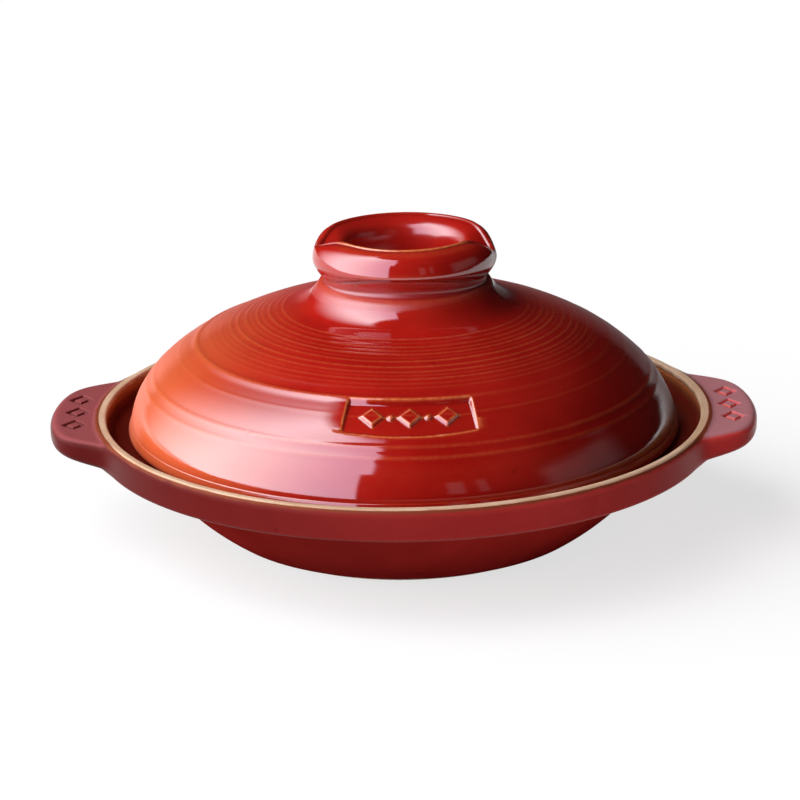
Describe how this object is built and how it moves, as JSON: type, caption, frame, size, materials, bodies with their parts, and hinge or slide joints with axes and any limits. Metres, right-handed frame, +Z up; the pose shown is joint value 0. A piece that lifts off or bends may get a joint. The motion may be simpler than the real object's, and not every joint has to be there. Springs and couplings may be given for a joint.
{
  "type": "lidded casserole",
  "caption": "Shallow round clay casserole with side lugs, a wide gallery rim, and a lift-off domed lid with a hollow saddle-lipped knob.",
  "frame": {"origin": "centre of the foot, on the surface that the pot stands on", "axes": "+Z up through the middle of the lid, +X through the right lug, -Y towards the panel on the front of the lid"},
  "size_m": [0.301, 0.262, 0.1285],
  "materials": {
    "dark_glaze": "satin dark red glaze",
    "pot_glaze": "satin red glaze",
    "lid_glaze": "gloss red glaze breaking to orange on its edges",
    "bare_clay": "matt unglazed buff clay"
  },
  "bodies": {
    "pot": {"foot_ring": "bare_clay", "bowl": "dark_glaze", "gallery_ledge": "pot_glaze", "rim_collar": "pot_glaze", "bare_rim": "bare_clay", "left_lug": "pot_glaze", "right_lug": "pot_glaze"},
    "lid": {"lid_seat": "bare_clay", "lid_lip": "lid_glaze", "lid_dome": "lid_glaze", "panel_relief": "lid_glaze", "lid_knob": "lid_glaze"}
  },
  "joints": [
    {"name": "lid_lift", "type": "slide", "parent": "pot", "child": "lid", "axis": [0, 0, 1], "range_m": [0, 0.12]}
  ]
}
